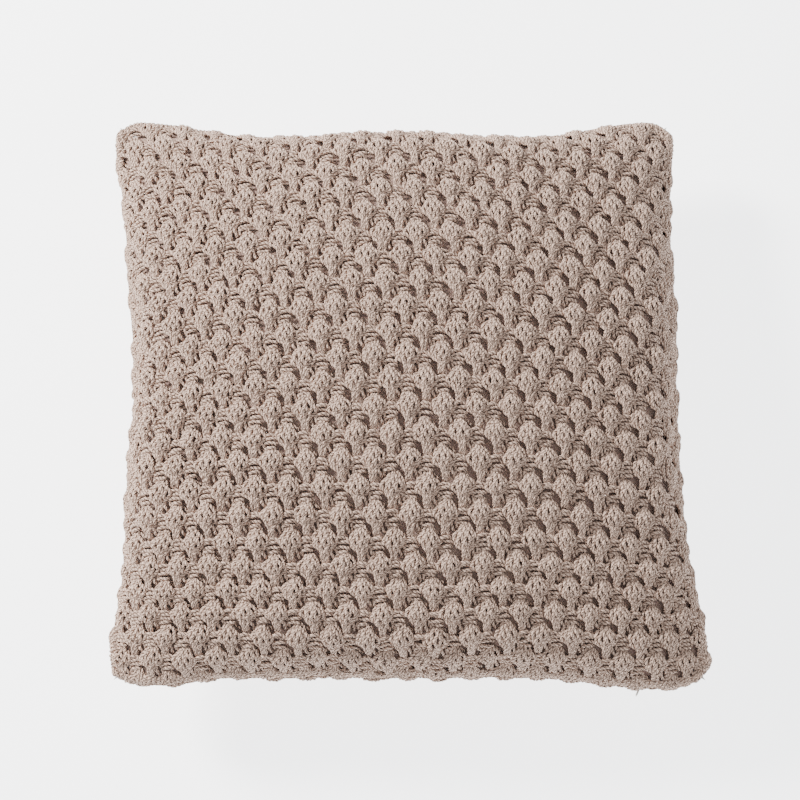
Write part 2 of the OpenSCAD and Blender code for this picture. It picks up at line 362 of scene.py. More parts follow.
# ---- Fibre filling ----
# A loose ball of hollow polyester fibre that takes the shape of its casing.
# Its surface is soft and lumpy, and no seam holds it.
def node_maker(material):
    """Short calls that add a shader node, set its sockets and join it up."""
    tree = material.node_tree if hasattr(material, "node_tree") else material

    def add(kind, settings=None, **sockets):
        node = tree.nodes.new(kind)
        for key, value in (settings or {}).items():
            setattr(node, key, value)
        for key, value in sockets.items():
            socket = node.inputs[int(key[1:])] if key[1:].isdigit() else node.inputs[key.replace("_", " ")]
            if isinstance(value, bpy.types.NodeSocket):
                tree.links.new(value, socket)
            else:
                socket.default_value = value
        return node
    return add


def finish_material(name, roughness, metallic=0.0):
    material = bpy.data.materials.new(name)
    material.use_nodes = True
    shader = material.node_tree.nodes["Principled BSDF"]
    shader.inputs["Roughness"].default_value = roughness
    shader.inputs["Metallic"].default_value = metallic
    return material, shader, node_maker(material)


def pattern_into(material, shader, **results):
    """Joins what a pattern works out to the shader's own sockets."""
    for socket, value in results.items():
        material.node_tree.links.new(value, shader.inputs[socket.replace("_", " ")])


insert_gap = 0.0016
insert_looseness = 0.0052
filling_under_casing = 0.0012
lump_height = 0.0009
filling_count = 65


def insert_depth(u, v):
    """How far the insert lies under the lining: close at the crown, loose round the edge."""
    edge = np.maximum(np.abs(u), np.abs(v))
    return -insert_gap - insert_looseness * smooth_step((edge - 0.15) / 0.80)


def fibre_material():
    material, shader, add = finish_material("hollow_fibre", 0.95)
    place = add("ShaderNodeTexCoord").outputs["Object"]
    tuft = add("ShaderNodeTexNoise", Vector=place, Scale=55.0, Detail=6.0, Roughness=0.65)
    strand = add("ShaderNodeTexNoise", Vector=place, Scale=900.0, Detail=3.0, Distortion=2.5)
    # Painted shade: the fibre is coloured darker where its tufts sink, by the same noise that raises them.
    shade = add("ShaderNodeMixRGB", Fac=tuft.outputs["Fac"], Color1=(0.80, 0.80, 0.78, 1),
                Color2=(0.93, 0.93, 0.92, 1))
    both_scales = add("ShaderNodeMath", {"operation": "MULTIPLY_ADD"}, _0=strand.outputs["Fac"], _1=0.15,
                      _2=tuft.outputs["Fac"])
    relief = add("ShaderNodeBump", Height=both_scales.outputs[0], Strength=0.7, Distance=0.004)
    pattern_into(material, shader, Base_Color=shade.outputs[0], Normal=relief.outputs[0])
    return material


def lumps(u, v):
    return lump_height * (np.sin(23 * u + 3 * np.sin(9 * v)) * np.sin(19 * v + 2 * np.sin(11 * u)) - 1)


def make_filling():
    count = filling_count
    u, v = np.meshgrid(np.linspace(-1, 1, count), np.linspace(-1, 1, count))
    inside_casing = insert_depth(u, v) - filling_under_casing
    fade = 1 - np.maximum(np.abs(u), np.abs(v)) ** 6
    top, _ = on_form(front, u, v, inside_casing + lumps(u, v) * fade, open_lips=False)
    under, _ = on_form(back, u, v, inside_casing + lumps(v, u) * fade, open_lips=False)
    skin = skin_quads(np.arange(count * count).reshape(count, count))
    faces = np.concatenate([skin, skin[:, ::-1] + count * count])
    piece = make_piece("filling", np.concatenate([top.reshape(-1, 3), under.reshape(-1, 3)]), faces)
    mesh = bmesh.new()
    mesh.from_mesh(piece.data)
    bmesh.ops.remove_doubles(mesh, verts=mesh.verts, dist=0.00001)
    mesh.to_mesh(piece.data)
    mesh.free()
    piece.data.materials.append(fibre_material())
    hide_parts("fibre_fill")


make_filling()


# ---- Insert casing ----
# Two squares of white non-woven cloth, welded with small dimples and closed with one
# row of stitches. It lies loose inside the cover.
def woven_cloth_group():
    """Over-and-under weave on a cut's own flat layout, for every plain cloth."""
    group = bpy.data.node_groups.new("Woven cloth", "ShaderNodeTree")
    group.interface.new_socket("Thread Size", in_out="INPUT", socket_type="NodeSocketFloat")
    group.interface.new_socket("Warp Colour", in_out="INPUT", socket_type="NodeSocketColor")
    group.interface.new_socket("Weft Colour", in_out="INPUT", socket_type="NodeSocketColor")
    group.interface.new_socket("Colour", in_out="OUTPUT", socket_type="NodeSocketColor")
    group.interface.new_socket("Height", in_out="OUTPUT", socket_type="NodeSocketFloat")
    add = node_maker(group)
    given = add("NodeGroupInput")
    flat = add("ShaderNodeUVMap", {"uv_map": "cut"}).outputs[0]
    wobble = add("ShaderNodeTexNoise", Vector=flat, Scale=90.0, Detail=2.0)
    shifted = add("ShaderNodeVectorMath", {"operation": "MULTIPLY_ADD"}, _0=wobble.outputs["Color"],
                  _1=(0.0006, 0.0006, 0.0006), _2=flat)
    scaled = add("ShaderNodeVectorMath", {"operation": "SCALE"}, _0=shifted.outputs[0])
    per_metre = add("ShaderNodeMath", {"operation": "DIVIDE"}, _0=1.0, _1=given.outputs["Thread Size"])
    group.links.new(per_metre.outputs[0], scaled.inputs["Scale"])
    apart = add("ShaderNodeSeparateXYZ", _0=scaled.outputs[0])
    waves = []
    for axis in (0, 1):
        turn = add("ShaderNodeMath", {"operation": "MULTIPLY"}, _0=apart.outputs[axis], _1=math.pi)
        waves.append(add("ShaderNodeMath", {"operation": "SINE"}, _0=turn.outputs[0]).outputs[0])
    over = add("ShaderNodeMath", {"operation": "MULTIPLY"}, _0=waves[0], _1=waves[1])
    round_warp = add("ShaderNodeMath", {"operation": "ABSOLUTE"}, _0=waves[0])
    round_weft = add("ShaderNodeMath", {"operation": "ABSOLUTE"}, _0=waves[1])
    is_warp = add("ShaderNodeMath", {"operation": "GREATER_THAN"}, _0=over.outputs[0], _1=0.0)
    height = add("ShaderNodeMix", {"data_type": "FLOAT"}, _0=is_warp.outputs[0], _2=round_weft.outputs[0],
                 _3=round_warp.outputs[0])
    slub = add("ShaderNodeTexNoise", Vector=flat, Scale=700.0, Detail=3.0)
    both = add("ShaderNodeMath", {"operation": "MULTIPLY_ADD"}, _0=slub.outputs["Fac"], _1=0.35,
               _2=height.outputs[0])
    colour = add("ShaderNodeMixRGB", Fac=is_warp.outputs[0], Color1=given.outputs["Weft Colour"],
                 Color2=given.outputs["Warp Colour"])
    worn = add("ShaderNodeMixRGB", {"blend_type": "MULTIPLY"}, Fac=0.35, Color1=colour.outputs[0],
               Color2=slub.outputs["Color"])
    result = add("NodeGroupOutput")
    group.links.new(worn.outputs[0], result.inputs["Colour"])
    group.links.new(both.outputs[0], result.inputs["Height"])
    return group


woven_cloth = woven_cloth_group()


def cloth_material(name, thread_size, warp, weft, roughness, relief_depth):
    material, shader, add = finish_material(name, roughness)
    weave = add("ShaderNodeGroup", {"node_tree": woven_cloth}, Thread_Size=thread_size,
                Warp_Colour=(*warp, 1), Weft_Colour=(*weft, 1))
    relief = add("ShaderNodeBump", Height=weave.outputs["Height"], Strength=0.6, Distance=relief_depth)
    pattern_into(material, shader, Base_Color=weave.outputs["Colour"], Normal=relief.outputs[0])
    shader.inputs["Sheen Weight"].default_value = 0.15
    return material


casing_white = (0.86, 0.85, 0.82)
casing_shade = (0.80, 0.79, 0.76)
casing_cloth = cloth_material("non_woven_casing", 0.0016, casing_white, casing_shade, 0.85, 0.0002)
casing_thick = 0.0008
casing_count = (61, 61)


def casing_inside(u, v):
    return insert_depth(u, v) - casing_thick


for face, side in ((front, "front"), (back, "back")):
    casing = layer_sheet(f"casing_{side}", face, insert_depth, casing_inside, casing_count, open_lips=False)
    casing.data.materials.append(casing_cloth)
    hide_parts(f"insert_casing_{side}")


# ---- Insert label ----
# A blank satin tag laid flat against the casing near its side and sewn along its short
# ends. It is woven finer than the cloths round it, and shines more.
satin = cloth_material("satin_tag", 0.0004, (0.88, 0.87, 0.84), (0.82, 0.81, 0.78), 0.45, 0.00008)
tag_lies_off = 0.0001
tag_thick = 0.0004
tag_count = (21, 25)
tag_wide, tag_long = 0.12, 0.14
tag_from_seam = (0.985 - tag_wide, 0.985)
tag_along_seam = (-tag_long, 0.0)


def insert_tag_outside(u, v):
    return insert_depth(u, v) + tag_lies_off + tag_thick


def insert_tag_inside(u, v):
    return insert_depth(u, v) + tag_lies_off


insert_tag = layer_sheet("insert_tag", front, insert_tag_outside, insert_tag_inside, tag_count,
                         tag_from_seam, tag_along_seam, open_lips=False)
insert_tag.data.materials.append(satin)
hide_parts("insert_label")


# ---- Lining ----
# Brown cotton cut with each knitted panel. It keeps the filling from showing through the
# stitches and carries the pull of the seams.
lining_brown = (0.50, 0.350, 0.290)
lining_shade = (0.36, 0.245, 0.205)
lining_cloth = cloth_material("brown_lining", 0.0015, lining_brown, lining_shade, 0.9, 0.0004)
lining_thick = 0.001
lining_count = (97, 97)
for face, side in ((front, "front"), (back, "back")):
    lining = layer_sheet(f"lining_{side}", face, lambda u, v: 0 * u, lambda u, v: 0 * u - lining_thick,
                         lining_count)
    lining.data.materials.append(lining_cloth)
    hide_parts(f"{side}_lining")


# ---- Care label ----
# The same blank satin tag, sewn to the inside of the back lining beside the left seam,
# where it shows when the cover is turned inside out for washing.
care_tag_depth = lining_thick + tag_lies_off
care_tag = layer_sheet("care_tag", back, lambda u, v: 0 * u - care_tag_depth,
                       lambda u, v: 0 * u - care_tag_depth - tag_thick,
                       tag_count, (-tag_from_seam[1], -tag_from_seam[0]), tag_along_seam)
care_tag.data.materials.append(satin)
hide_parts("cover_care_label")


# ---- Knitted panels ----
# Hand-knitted in thick taupe cotton. Bobbles of seven legs stand in staggered rows, each
# gathered into a stem, with a ladder of loops between neighbours and pits beside the stem.
bobble_pitch = 0.0270
row_pitch = 0.0223
yarn_sides = 6
knit_rng = np.random.default_rng(20)


def yarn_group():
    """Plies twisted round each other, with flecked fibres, on the length and girth of a strand. The grooves
    between the plies are painted with the dark colour as painted shade.
    """
    group = bpy.data.node_groups.new("Twisted yarn", "ShaderNodeTree")
    for name, kind in (("Light Colour", "NodeSocketColor"), ("Dark Colour", "NodeSocketColor"),
                       ("Plies", "NodeSocketFloat"), ("Twist Length", "NodeSocketFloat")):
        group.interface.new_socket(name, in_out="INPUT", socket_type=kind)
    group.interface.new_socket("Colour", in_out="OUTPUT", socket_type="NodeSocketColor")
    group.interface.new_socket("Height", in_out="OUTPUT", socket_type="NodeSocketFloat")
    add = node_maker(group)
    given = add("NodeGroupInput")
    strand = add("ShaderNodeUVMap", {"uv_map": "strand"}).outputs[0]
    place = add("ShaderNodeTexCoord").outputs["Object"]
    apart = add("ShaderNodeSeparateXYZ", _0=strand)
    turns = add("ShaderNodeMath", {"operation": "DIVIDE"}, _0=apart.outputs[1],
                _1=given.outputs["Twist Length"])
    twisted = add("ShaderNodeMath", {"operation": "ADD"}, _0=turns.outputs[0], _1=apart.outputs[0])
    phase = add("ShaderNodeMath", {"operation": "MULTIPLY"}, _0=twisted.outputs[0], _1=given.outputs["Plies"])
    half_turns = add("ShaderNodeMath", {"operation": "MULTIPLY"}, _0=phase.outputs[0], _1=math.pi)
    wave = add("ShaderNodeMath", {"operation": "SINE"}, _0=half_turns.outputs[0])
    ply = add("ShaderNodeMath", {"operation": "ABSOLUTE"}, _0=wave.outputs[0])
    ply_height_and_groove_shade = add("ShaderNodeMath", {"operation": "POWER"}, _0=ply.outputs[0], _1=0.6)
    fleck = add("ShaderNodeTexNoise", Vector=place, Scale=850.0, Detail=2.0, Roughness=0.6)
    fibre = add("ShaderNodeTexNoise", Vector=place, Scale=2600.0, Detail=2.0, Distortion=1.2)
    patch = add("ShaderNodeTexNoise", Vector=place, Scale=38.0, Detail=2.0)
    fleck_share = add("ShaderNodeMapRange", Value=fleck.outputs["Fac"], From_Min=0.38, From_Max=0.62)
    tone = add("ShaderNodeMath", {"operation": "MULTIPLY_ADD"}, _0=fleck_share.outputs[0], _1=0.60, _2=-0.42)
    # Painted shade: the colour runs to the dark colour in the grooves between the plies, where the same ply
    # wave sinks the bump.
    with_groove_shade = add("ShaderNodeMath", {"operation": "MULTIPLY_ADD"}, _0=ply_height_and_groove_shade.outputs[0], _1=0.85,
                   _2=tone.outputs[0])
    with_patch = add("ShaderNodeMath", {"operation": "MULTIPLY_ADD"}, _0=patch.outputs["Fac"], _1=0.24,
                     _2=with_groove_shade.outputs[0])
    colour = add("ShaderNodeMixRGB", {"use_clamp": True}, Fac=with_patch.outputs[0],
                 Color1=given.outputs["Dark Colour"], Color2=given.outputs["Light Colour"])
    height = add("ShaderNodeMath", {"operation": "MULTIPLY_ADD"}, _0=fibre.outputs["Fac"], _1=0.45,
                 _2=ply_height_and_groove_shade.outputs[0])
    result = add("NodeGroupOutput")
    group.links.new(colour.outputs[0], result.inputs["Colour"])
    group.links.new(height.outputs[0], result.inputs["Height"])
    return group


twisted_yarn = yarn_group()


def yarn_material(name, light, dark, plies, twist_length, relief_depth):
    material, shader, add = finish_material(name, 0.92)
    yarn = add("ShaderNodeGroup", {"node_tree": twisted_yarn}, Light_Colour=(*light, 1),
               Dark_Colour=(*dark, 1), Plies=plies, Twist_Length=twist_length)
    relief = add("ShaderNodeBump", Height=yarn.outputs["Height"], Strength=1.0, Distance=relief_depth)
    pattern_into(material, shader, Base_Color=yarn.outputs["Colour"], Normal=relief.outputs[0])
    shader.inputs["Specular IOR Level"].default_value = 0.15
    shader.inputs["Sheen Weight"].default_value = 0.06
    shader.inputs["Sheen Roughness"].default_value = 0.5
    return material


def tubes(centres, normals, radii, sides=yarn_sides):
    """Closed strands round many centre lines at once: points, quads, and each corner's (girth, length)."""
    count, rings = centres.shape[:2]
    forward = unit(np.gradient(centres, axis=1))
    side = unit(np.cross(forward, normals))
    up = np.cross(side, forward)
    turn = 2 * np.pi * np.arange(sides) / sides
    offset = np.cos(turn)[:, None] * side[:, :, None] + np.sin(turn)[:, None] * up[:, :, None]
    points = centres[:, :, None] + offset * radii[..., None, None]
    index = np.arange(count * rings * sides).reshape(count, rings, sides)
    turned = np.roll(index, -1, axis=2)
    wall = np.stack([index[:, :-1], turned[:, :-1], turned[:, 1:], index[:, 1:]], -1)
    halves = ((0, 1, 2, 3), (0, 3, 4, 5))
    start = np.stack([index[:, 0][:, list(half)[::-1]] for half in halves], 1)
    end = np.stack([index[:, -1][:, list(half)] for half in halves], 1)
    steps_gone = np.linalg.norm(np.diff(centres, axis=1), axis=2)
    gone = np.concatenate([np.zeros((count, 1)), np.cumsum(steps_gone, 1)], 1)
    girth = np.arange(sides + 1) / sides
    low, high = gone[:, :-1, None], gone[:, 1:, None]
    ones = np.ones((count, rings - 1, sides))
    wall_map = np.stack([
        np.stack([ones * girth[:-1], ones * low], -1), np.stack([ones * girth[1:], ones * low], -1),
        np.stack([ones * girth[1:], ones * high], -1), np.stack([ones * girth[:-1], ones * high], -1)], -2)
    start_map = np.stack([np.stack([np.broadcast_to(girth[list(half)[::-1]], (count, 4)),
                                    np.zeros((count, 4))], -1) for half in halves], 1)
    end_map = np.stack([np.stack([np.broadcast_to(girth[list(half)], (count, 4)),
                                  np.repeat(gone[:, -1:], 4, 1)], -1) for half in halves], 1)
    return {"points": points.reshape(-1, 3),
            "quads": [wall.reshape(count, -1, 4), start, end],
            "maps": [wall_map.reshape(count, -1, 4, 2), start_map, end_map],
            "length": gone[:, -1]}


# Each strand gets its own tile of the finish's layout, taller than wide, with a margin round it.
tile_height = 2.6
tile_margin = 0.04


def yarn_piece(name, batches, body="cover"):
    """One piece of knitting from batches of strands, with the layouts its yarn pattern and finish use."""
    points, quads, strand_map, tile_map = [], [], [], []
    strands = sum(len(batch["length"]) for batch in batches)
    tiles_across = math.ceil(math.sqrt(strands * tile_height))
    tiles_up = math.ceil(strands / tiles_across)
    first, before = 0, 0
    for batch in batches:
        total = len(batch["length"])
        number = first + np.arange(total)
        corner = np.stack([number % tiles_across, number // tiles_across], -1)[:, None, None]
        shift = knit_rng.uniform(0, 1, (total, 1, 1, 2)) * (1.0, 0.05)
        for faces, spots in zip(batch["quads"], batch["maps"]):
            quads.append((faces + before).reshape(-1, 4))
            strand_map.append((spots + shift).reshape(-1, 2))
            share = spots / np.stack([np.ones(total), batch["length"]], -1)[:, None, None]
            tile = (corner + tile_margin + (1 - 2 * tile_margin) * share) / (tiles_across, tiles_up)
            tile_map.append(tile.reshape(-1, 2))
        points.append(batch["points"])
        first += total
        before += len(batch["points"])
    points, quads = np.concatenate(points), np.concatenate(quads)
    mesh = bpy.data.meshes.new(name)
    mesh.vertices.add(len(points))
    mesh.vertices.foreach_set("co", points.astype(np.float32).ravel())
    mesh.loops.add(quads.size)
    mesh.loops.foreach_set("vertex_index", quads.astype(np.int32).ravel())
    mesh.polygons.add(len(quads))
    mesh.polygons.foreach_set("loop_start", np.arange(0, quads.size, 4, dtype=np.int32))
    mesh.update(calc_edges=True)
    mesh.validate()
    for label, spots in (("strand", strand_map), ("OFBake", tile_map)):
        layer = mesh.uv_layers.new(name=label)
        layer.data.foreach_set("uv", np.concatenate(spots).astype(np.float32).ravel())
    mesh.shade_smooth()
    piece = bpy.data.objects.new(name, mesh)
    bpy.context.scene.collection.objects.link(piece)
    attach(piece, body)
    return piece


def smooth_line(stations, rings):
    """A strand's stations (right, up, height, radius in mm) joined by a smooth curve."""
    stations = np.asarray(stations, float)
    at = np.linspace(0, len(stations) - 1, rings)
    low = np.clip(at.astype(int), 0, len(stations) - 2)
    t = (at - low)[:, None]
    pick = [stations[np.clip(low + step, 0, len(stations) - 1)] for step in (-1, 0, 1, 2)]
    return (pick[1] + 0.5 * t * (pick[2] - pick[0] + t * (2 * pick[0] - 5 * pick[1] + 4 * pick[2] - pick[3]
            + t * (3 * (pick[1] - pick[2]) + pick[3] - pick[0]))))


leg_rings, arch_rings, bar_rings, web_rings = 14, 8, 6, 5
cap_roundness = 0.34


def bobble_leg(fan):
    """A leg of a bobble, from its tuck under the ladder above to the foot of the stem."""
    flat = 1 - cap_roundness * fan * fan
    return smooth_line([
        (2.4 * fan, 14.0, 3.6, 1.2),
        (4.3 * fan, 10.0, 6.1 * flat, 1.4),
        (7.0 * fan, 6.0, 8.6 * flat, 1.5),
        (8.4 * fan, 2.2, 9.5 * flat, 1.5),
        (7.6 * fan, -1.4, 9.0 * flat, 1.5),
        (5.0 * fan, -4.4, 7.8 * flat, 1.35),
        (2.8 * fan, -7.0, 6.9, 1.2),
        (2.1 * fan, -10.4, 6.2, 1.15),
        (2.0 * fan, -14.0, 5.0, 1.15),
        (1.8 * fan, -17.0, 3.2, 1.1),
    ], leg_rings)


# Each strand of one stitch repeat, about the middle of a bobble. The ladder stands half a
# pitch to its right, and under it a thinner web joins the stems.
half_pitch = bobble_pitch * 500


def ladder(stations, rings):
    return smooth_line([(half_pitch + right, up, high, thick) for right, up, high, thick in stations], rings)


bobble_legs = [bobble_leg(k / 3) for k in (-3, -2, -1, 0, 1, 2, 3)]
stitch_strands = bobble_legs + [
    ladder([(-7.0, 0.2, 3.6, 1.3), (-4.2, 3.4, 4.6, 1.4), (0, 4.7, 5.4, 1.5),
            (4.2, 3.6, 4.6, 1.4), (7.2, 0.6, 3.6, 1.3)], arch_rings),
    ladder([(-7.2, -1.2, 3.6, 1.3), (-3.0, 1.0, 4.7, 1.4),
            (3.0, 1.1, 4.7, 1.4), (7.4, -0.8, 3.6, 1.3)], bar_rings),
    ladder([(-6.6, -4.2, 3.6, 1.3), (-2.5, -3.1, 4.9, 1.45),
            (2.5, -3.0, 4.9, 1.45), (6.0, -3.9, 3.6, 1.3)], bar_rings),
    ladder([(-5.6, -7.9, 3.6, 1.3), (-2.0, -6.9, 4.8, 1.5),
            (2.0, -6.9, 4.8, 1.5), (4.6, -7.6, 3.6, 1.3)], bar_rings),
    smooth_line([(-12.0, -8.4, 1.6, 1.15), (-8.8, -11.4, 1.3, 1.2), (-5.0, -15.4, 1.2, 1.1)], web_rings),
    smooth_line([(4.0, -4.6, 6.2, 1.2), (4.8, -8.4, 5.2, 1.35), (6.9, -13.6, 4.0, 1.2)], web_rings),
    smooth_line([(8.4, -4.2, 4.2, 1.2), (8.7, -8.0, 3.8, 1.3), (9.8, -12.4, 2.8, 1.2)], web_rings),
]


# How the knitting is stretched over the pillow, in mm where it is a length.
widening = 0.055
row_take_up = 0.95
crowd_share = 0.18
crowd_from = -0.60
crowd_blend = 16.0
bow_depth = 17.0
bow_ease = 0.35


def eased(x, y, reach):
    """Where flat knitting comes to lie: its rows bow up in the middle and crowd toward the zip."""
    x = x * (1 + widening * np.maximum(y / reach, 0))
    y = row_take_up * y
    y = y + crowd_share * crowd_blend * np.log1p(np.exp((crowd_from * reach - y) / crowd_blend))
    bow = bow_depth * smooth_step((y / reach + 0.45) / 0.65)
    bow = bow * (1 - bow_ease * smooth_step((y / reach - 0.4) / 0.6))
    return x, y - bow * (x / reach) ** 2


def settle(t, margin=0.035):
    """Strands that would run past a seam are gathered up against it."""
    over = np.maximum(np.abs(t) - (1 - margin), 0)
    return np.sign(t) * (np.minimum(np.abs(t), 1 - margin) + margin * (1 - np.exp(-over / margin)))


braid_points = 360
braid_beats = 66
braid_length = 0.985
braid_from_seam = 0.014
braid_swing = 0.010
braid_lift = 0.0034
braid_rise = 0.0012
braid_radius = 0.0015


def selvedge(face):
    """Two strands that braid along each side of a panel, where it was cast on, bound off or turned."""
    turn = np.linspace(-1, 1, braid_points)[None, :]
    strands = []
    for side in (0, 1, 2, 3):
        for start in (0, np.pi):
            beat = braid_beats * np.pi * turn + start + knit_rng.uniform(0, 1)
            from_seam = braid_from_seam + braid_swing * np.sin(beat)
            line = braid_length * turn
            out = (1 - from_seam) * (1 if side % 2 else -1)
            u, v = (out, line) if side < 2 else (line, out)
            centres, normals = on_form(face, u, v, braid_lift + braid_rise * np.cos(beat))
            strands.append(tubes(centres, normals, braid_radius + 0.0002 * np.sin(2 * beat)))
    return strands


# A hand knitter's unevenness: places and heights in mm, the rest as shares.
row_sway = 1.2
column_slant = 0.012
past_side, past_end = 11, 9
place_error = 0.45
size_error = 0.035
lean_error = 0.05
strand_error = 0.25
thickness_error = 0.05
leg_waver, ladder_waver = 20.0, 7.0
leg_sway, ladder_sway = 0.85, 0.3
strand_lift = 0.75
least_lift = 1.2
seam_flattening = 0.36


def knit_panel(name, face, phase):
    """Rows of bobbles over one face, each stitch a little different from its neighbours, in mm."""
    reach = blank_half * 1000
    columns = math.ceil(reach / (bobble_pitch * 1000)) + 1
    rows = math.ceil(1.35 * reach / (row_pitch * 1000))
    spots = np.array([(bobble_pitch * 1000 * (c + 0.5 * (r % 2)) + phase[0], row_pitch * 1000 * r + phase[1])
                      for r in range(-rows, rows + 1) for c in range(-columns, columns + 1)])
    sway = row_sway * np.stack([np.sin(spots[:, 1] / 47 + 1) + np.sin(spots[:, 0] / 71),
                                np.sin(spots[:, 0] / 59)], -1)
    sway[:, 0] -= column_slant * spots[:, 1]
    middle = spots + sway
    lies_x, lies_y = eased(middle[:, 0], middle[:, 1], reach)
    middle = middle[(np.abs(lies_x) < reach + past_side) & (np.abs(lies_y) < reach + past_end)]
    total = len(middle)
    middle += knit_rng.normal(0, place_error, (total, 2))
    size = 1 + knit_rng.normal(0, size_error, (total, 1, 3))
    lean = knit_rng.normal(0, lean_error, (total, 1))
    batches = []
    rhythm = knit_rng.uniform(0, 2 * np.pi, (total, 1))
    for number, line in enumerate(stitch_strands):
        rings = len(line)
        way = np.linspace(0, 1, rings)[None, :]
        loose = knit_rng.normal(0, strand_error, (total, 1, 3)) * (1, 1, 0.9)
        local = line[None, :, :3] * size + loose
        # The legs of a cap cross and part again, as pairs of plain stitches do.
        in_bobble = number < len(bobble_legs)
        waver = rhythm + np.pi * (number % 2) + knit_rng.normal(0, 0.5, (total, 1))
        waver = waver + way * (leg_waver if in_bobble else ladder_waver)
        sway_across = leg_sway * smooth_step(local[..., 1] / 10 + 1.15) if in_bobble else ladder_sway
        x = local[..., 0] + lean * local[..., 1] + sway_across * np.sin(waver) + middle[:, None, 0]
        y = local[..., 1] + 0.35 * np.cos(0.9 * waver) + middle[:, None, 1]
        x, y = eased(x, y, reach)
        u, v = settle(x / reach), settle(y / reach)
        nearest_seam = np.maximum(np.abs(u), np.abs(v))
        lift = local[..., 2] + strand_lift * np.cos(waver + 0.8)
        lift = lift * (1 - seam_flattening * smooth_step((nearest_seam - 0.84) / 0.12))
        centres, normals = on_form(face, u, v, np.maximum(lift, least_lift) * 0.001)
        thickness = 1 + knit_rng.normal(0, thickness_error, (total, 1)) + 0.14 * np.sin(2 * waver)
        batches.append(tubes(centres, normals, line[None, :, 3] * 0.001 * thickness))
    return yarn_piece(name, batches + selvedge(face))


# The dark colour is the yarn's darker fleck tone and also painted shade for the grooves between its plies.
yarn_taupe = (0.78, 0.572, 0.462)
yarn_dark_tone_and_groove_shade = (0.100, 0.062, 0.049)
knit_yarn = yarn_material("taupe_cotton_yarn", yarn_taupe, yarn_dark_tone_and_groove_shade, 3.0, 0.0095, 0.0010)
for face, side, phase in ((front, "front", (4.0, 10.2)), (back, "back", (6.0, 4.0))):
    knit = knit_panel(f"knit_{side}", face, phase)
    knit.data.materials.append(knit_yarn)
    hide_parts(f"knit_{side}_panel")


# ---- Seam threads ----
# The two cut panels are overlocked together with brown thread on three sides, and the
# insert's casing is closed along its top edge in the same way.
def thread_material(name, light, dark):
    material, shader, add = finish_material(name, 0.6)
    yarn = add("ShaderNodeGroup", {"node_tree": twisted_yarn}, Light_Colour=(*light, 1),
               Dark_Colour=(*dark, 1), Plies=3.0, Twist_Length=0.0016)
    relief = add("ShaderNodeBump", Height=yarn.outputs["Height"], Strength=0.8, Distance=0.0001)
    pattern_into(material, shader, Base_Color=yarn.outputs["Colour"], Normal=relief.outputs[0])
    return material


# Both threads get painted shade in the grooves between their plies from their dark colours.
brown_thread = thread_material("brown_thread", (0.30, 0.21, 0.17), (0.13, 0.085, 0.068))
white_thread = thread_material("white_thread", (0.90, 0.89, 0.86), (0.62, 0.61, 0.58))


overlock_stitches = 124
stitch_rings = 8
overlock_radius = 0.00035
overlock_reach, overlock_bite, overlock_lift = 0.93, 0.014, 0.0005
closing_reach, closing_bite, closing_lift = 0.90, 0.012, 0.0004


def seam_thread(name, node, edge, reach, lift, bite, material, open_lips=True):
    """Thread that wraps over a seam again and again; edge is left, right or top."""
    turn = np.linspace(0, overlock_stitches, overlock_stitches * stitch_rings + 1)
    along_edge = reach * (2 * turn / overlock_stitches - 1)
    inward = bite * np.abs(np.sin(np.pi * turn))
    face_up = np.sin(np.pi * turn) >= 0
    out = 1 - inward
    u, v = {"left": (-out, along_edge), "right": (out, along_edge), "top": (along_edge, out)}[edge]
    over, over_normal = on_form(front, u, v, lift(u, v), open_lips)
    under, under_normal = on_form(back, u, v, lift(u, v), open_lips)
    centres = np.where(face_up[:, None], over, under)
    normals = np.where(face_up[:, None], over_normal, under_normal)
    piece = yarn_piece(name, [tubes(centres[None], normals[None], np.full((1, len(turn)), overlock_radius))])
    piece.data.materials.append(material)
    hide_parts(node)


def over_lining(u, v):
    return 0 * u + overlock_lift


def over_casing(u, v):
    return insert_depth(u, v) + closing_lift


for edge in ("left", "right", "top"):
    seam_thread(f"{edge}_overlock", f"{edge}_seam_thread", edge, overlock_reach, over_lining, overlock_bite,
                brown_thread)
seam_thread("casing_closing", "insert_seam_thread", "top", closing_reach, over_casing, closing_bite,
            white_thread, open_lips=False)


# ---- Zip tapes ----
# Taupe polyester tape in a close plain weave, one along each lip. Its outer half lies
# against the lip it is sewn to, and its inner half carries the coil.
tape_taupe = (0.40, 0.295, 0.235)
tape_shade = (0.30, 0.215, 0.17)
tape_cloth = cloth_material("taupe_zip_tape", 0.0007, tape_taupe, tape_shade, 0.75, 0.00012)
tape_count = (205, 13)
tape_inner_edge = 0.00055
tape_outer_edge = 0.0100
tape_shelf = 0.0022
shelf_from, shelf_slope = 0.0035, 0.0025
tuck_from, tuck_slope = 0.0064, 0.75


def zip_tape(name, node, face):
    """A tape that steps out from its coil to the lip and tucks in behind it."""
    low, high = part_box(node)
    x, across_tape = np.meshgrid(np.linspace(low[0], high[0], tape_count[0]),
                                 np.linspace(0, 1, tape_count[1]))
    from_middle = tape_inner_edge + (tape_outer_edge - tape_inner_edge) * across_tape
    z = seam_level + face * from_middle
    bent = tape_shelf * smooth_step((from_middle - shelf_from) / shelf_slope)
    bent -= tuck_slope * np.maximum(from_middle - tuck_from, 0)
    bent += 0.00012 * np.sin(x * 160) * across_tape + 0.00008 * np.sin(x * 411 + 1)
    outside = np.stack([x, low[1] - bent, z], -1)
    inside = np.stack([x, high[1] - bent, z], -1)
    piece = thin_cut(name, face, outside, inside, np.stack([x, z], -1))
    piece.data.materials.append(tape_cloth)
    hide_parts(node)


zip_tape("tape_front", "zip_tape_front", front)
zip_tape("tape_back", "zip_tape_back", back)


